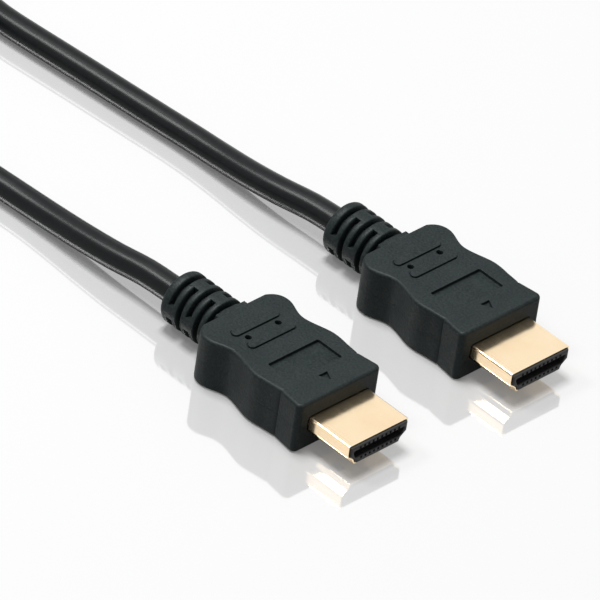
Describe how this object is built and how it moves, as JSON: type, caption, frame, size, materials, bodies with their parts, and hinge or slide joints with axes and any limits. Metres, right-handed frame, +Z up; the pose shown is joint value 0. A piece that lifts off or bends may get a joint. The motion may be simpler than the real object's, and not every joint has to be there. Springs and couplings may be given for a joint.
{
  "type": "hdmi cable",
  "caption": "Round black cable with a moulded plug, gold-plated shell and ribbed strain relief at each end, both plugs side by side and the spare cable wound in a tied coil.",
  "frame": {"origin": "on the floor, at the middle of the box that holds the two plugs", "axes": "+X along the plugs towards their tips, +Y from plug A to plug B, +Z up"},
  "size_m": [0.2085, 0.0776, 0.0103],
  "materials": {
    "black_plastic": "fine matte grain, moulded",
    "gold_shell": "smooth pale gold plating on steel",
    "insert_plastic": "satin, moulded",
    "gold_contact": "gold-flashed spring strip",
    "cable_sheath": "satin extruded soft plastic",
    "tie_strap": "matte woven strap"
  },
  "bodies": {
    "root": {"cable_coil": "cable_sheath", "cable_end_a": "cable_sheath", "cable_end_b": "cable_sheath", "coil_tie": "tie_strap", "plug_a_contact_lower_1": "gold_contact", "plug_a_contact_lower_2": "gold_contact", "plug_a_contact_lower_3": "gold_contact", "plug_a_contact_lower_4": "gold_contact", "plug_a_contact_lower_5": "gold_contact", "plug_a_contact_lower_6": "gold_contact", "plug_a_contact_lower_7": "gold_contact", "plug_a_contact_lower_8": "gold_contact", "plug_a_contact_lower_9": "gold_contact", "plug_a_contact_upper_1": "gold_contact", "plug_a_contact_upper_10": "gold_contact", "plug_a_contact_upper_2": "gold_contact", "plug_a_contact_upper_3": "gold_contact", "plug_a_contact_upper_4": "gold_contact", "plug_a_contact_upper_5": "gold_contact", "plug_a_contact_upper_6": "gold_contact", "plug_a_contact_upper_7": "gold_contact", "plug_a_contact_upper_8": "gold_contact", "plug_a_contact_upper_9": "gold_contact", "plug_a_insert": "insert_plastic", "plug_a_overmould": "black_plastic", "plug_a_shell": "gold_shell", "plug_b_contact_lower_1": "gold_contact", "plug_b_contact_lower_2": "gold_contact", "plug_b_contact_lower_3": "gold_contact", "plug_b_contact_lower_4": "gold_contact", "plug_b_contact_lower_5": "gold_contact", "plug_b_contact_lower_6": "gold_contact", "plug_b_contact_lower_7": "gold_contact", "plug_b_contact_lower_8": "gold_contact", "plug_b_contact_lower_9": "gold_contact", "plug_b_contact_upper_1": "gold_contact", "plug_b_contact_upper_10": "gold_contact", "plug_b_contact_upper_2": "gold_contact", "plug_b_contact_upper_3": "gold_contact", "plug_b_contact_upper_4": "gold_contact", "plug_b_contact_upper_5": "gold_contact", "plug_b_contact_upper_6": "gold_contact", "plug_b_contact_upper_7": "gold_contact", "plug_b_contact_upper_8": "gold_contact", "plug_b_contact_upper_9": "gold_contact", "plug_b_insert": "insert_plastic", "plug_b_overmould": "black_plastic", "plug_b_shell": "gold_shell"}
  },
  "joints": []
}
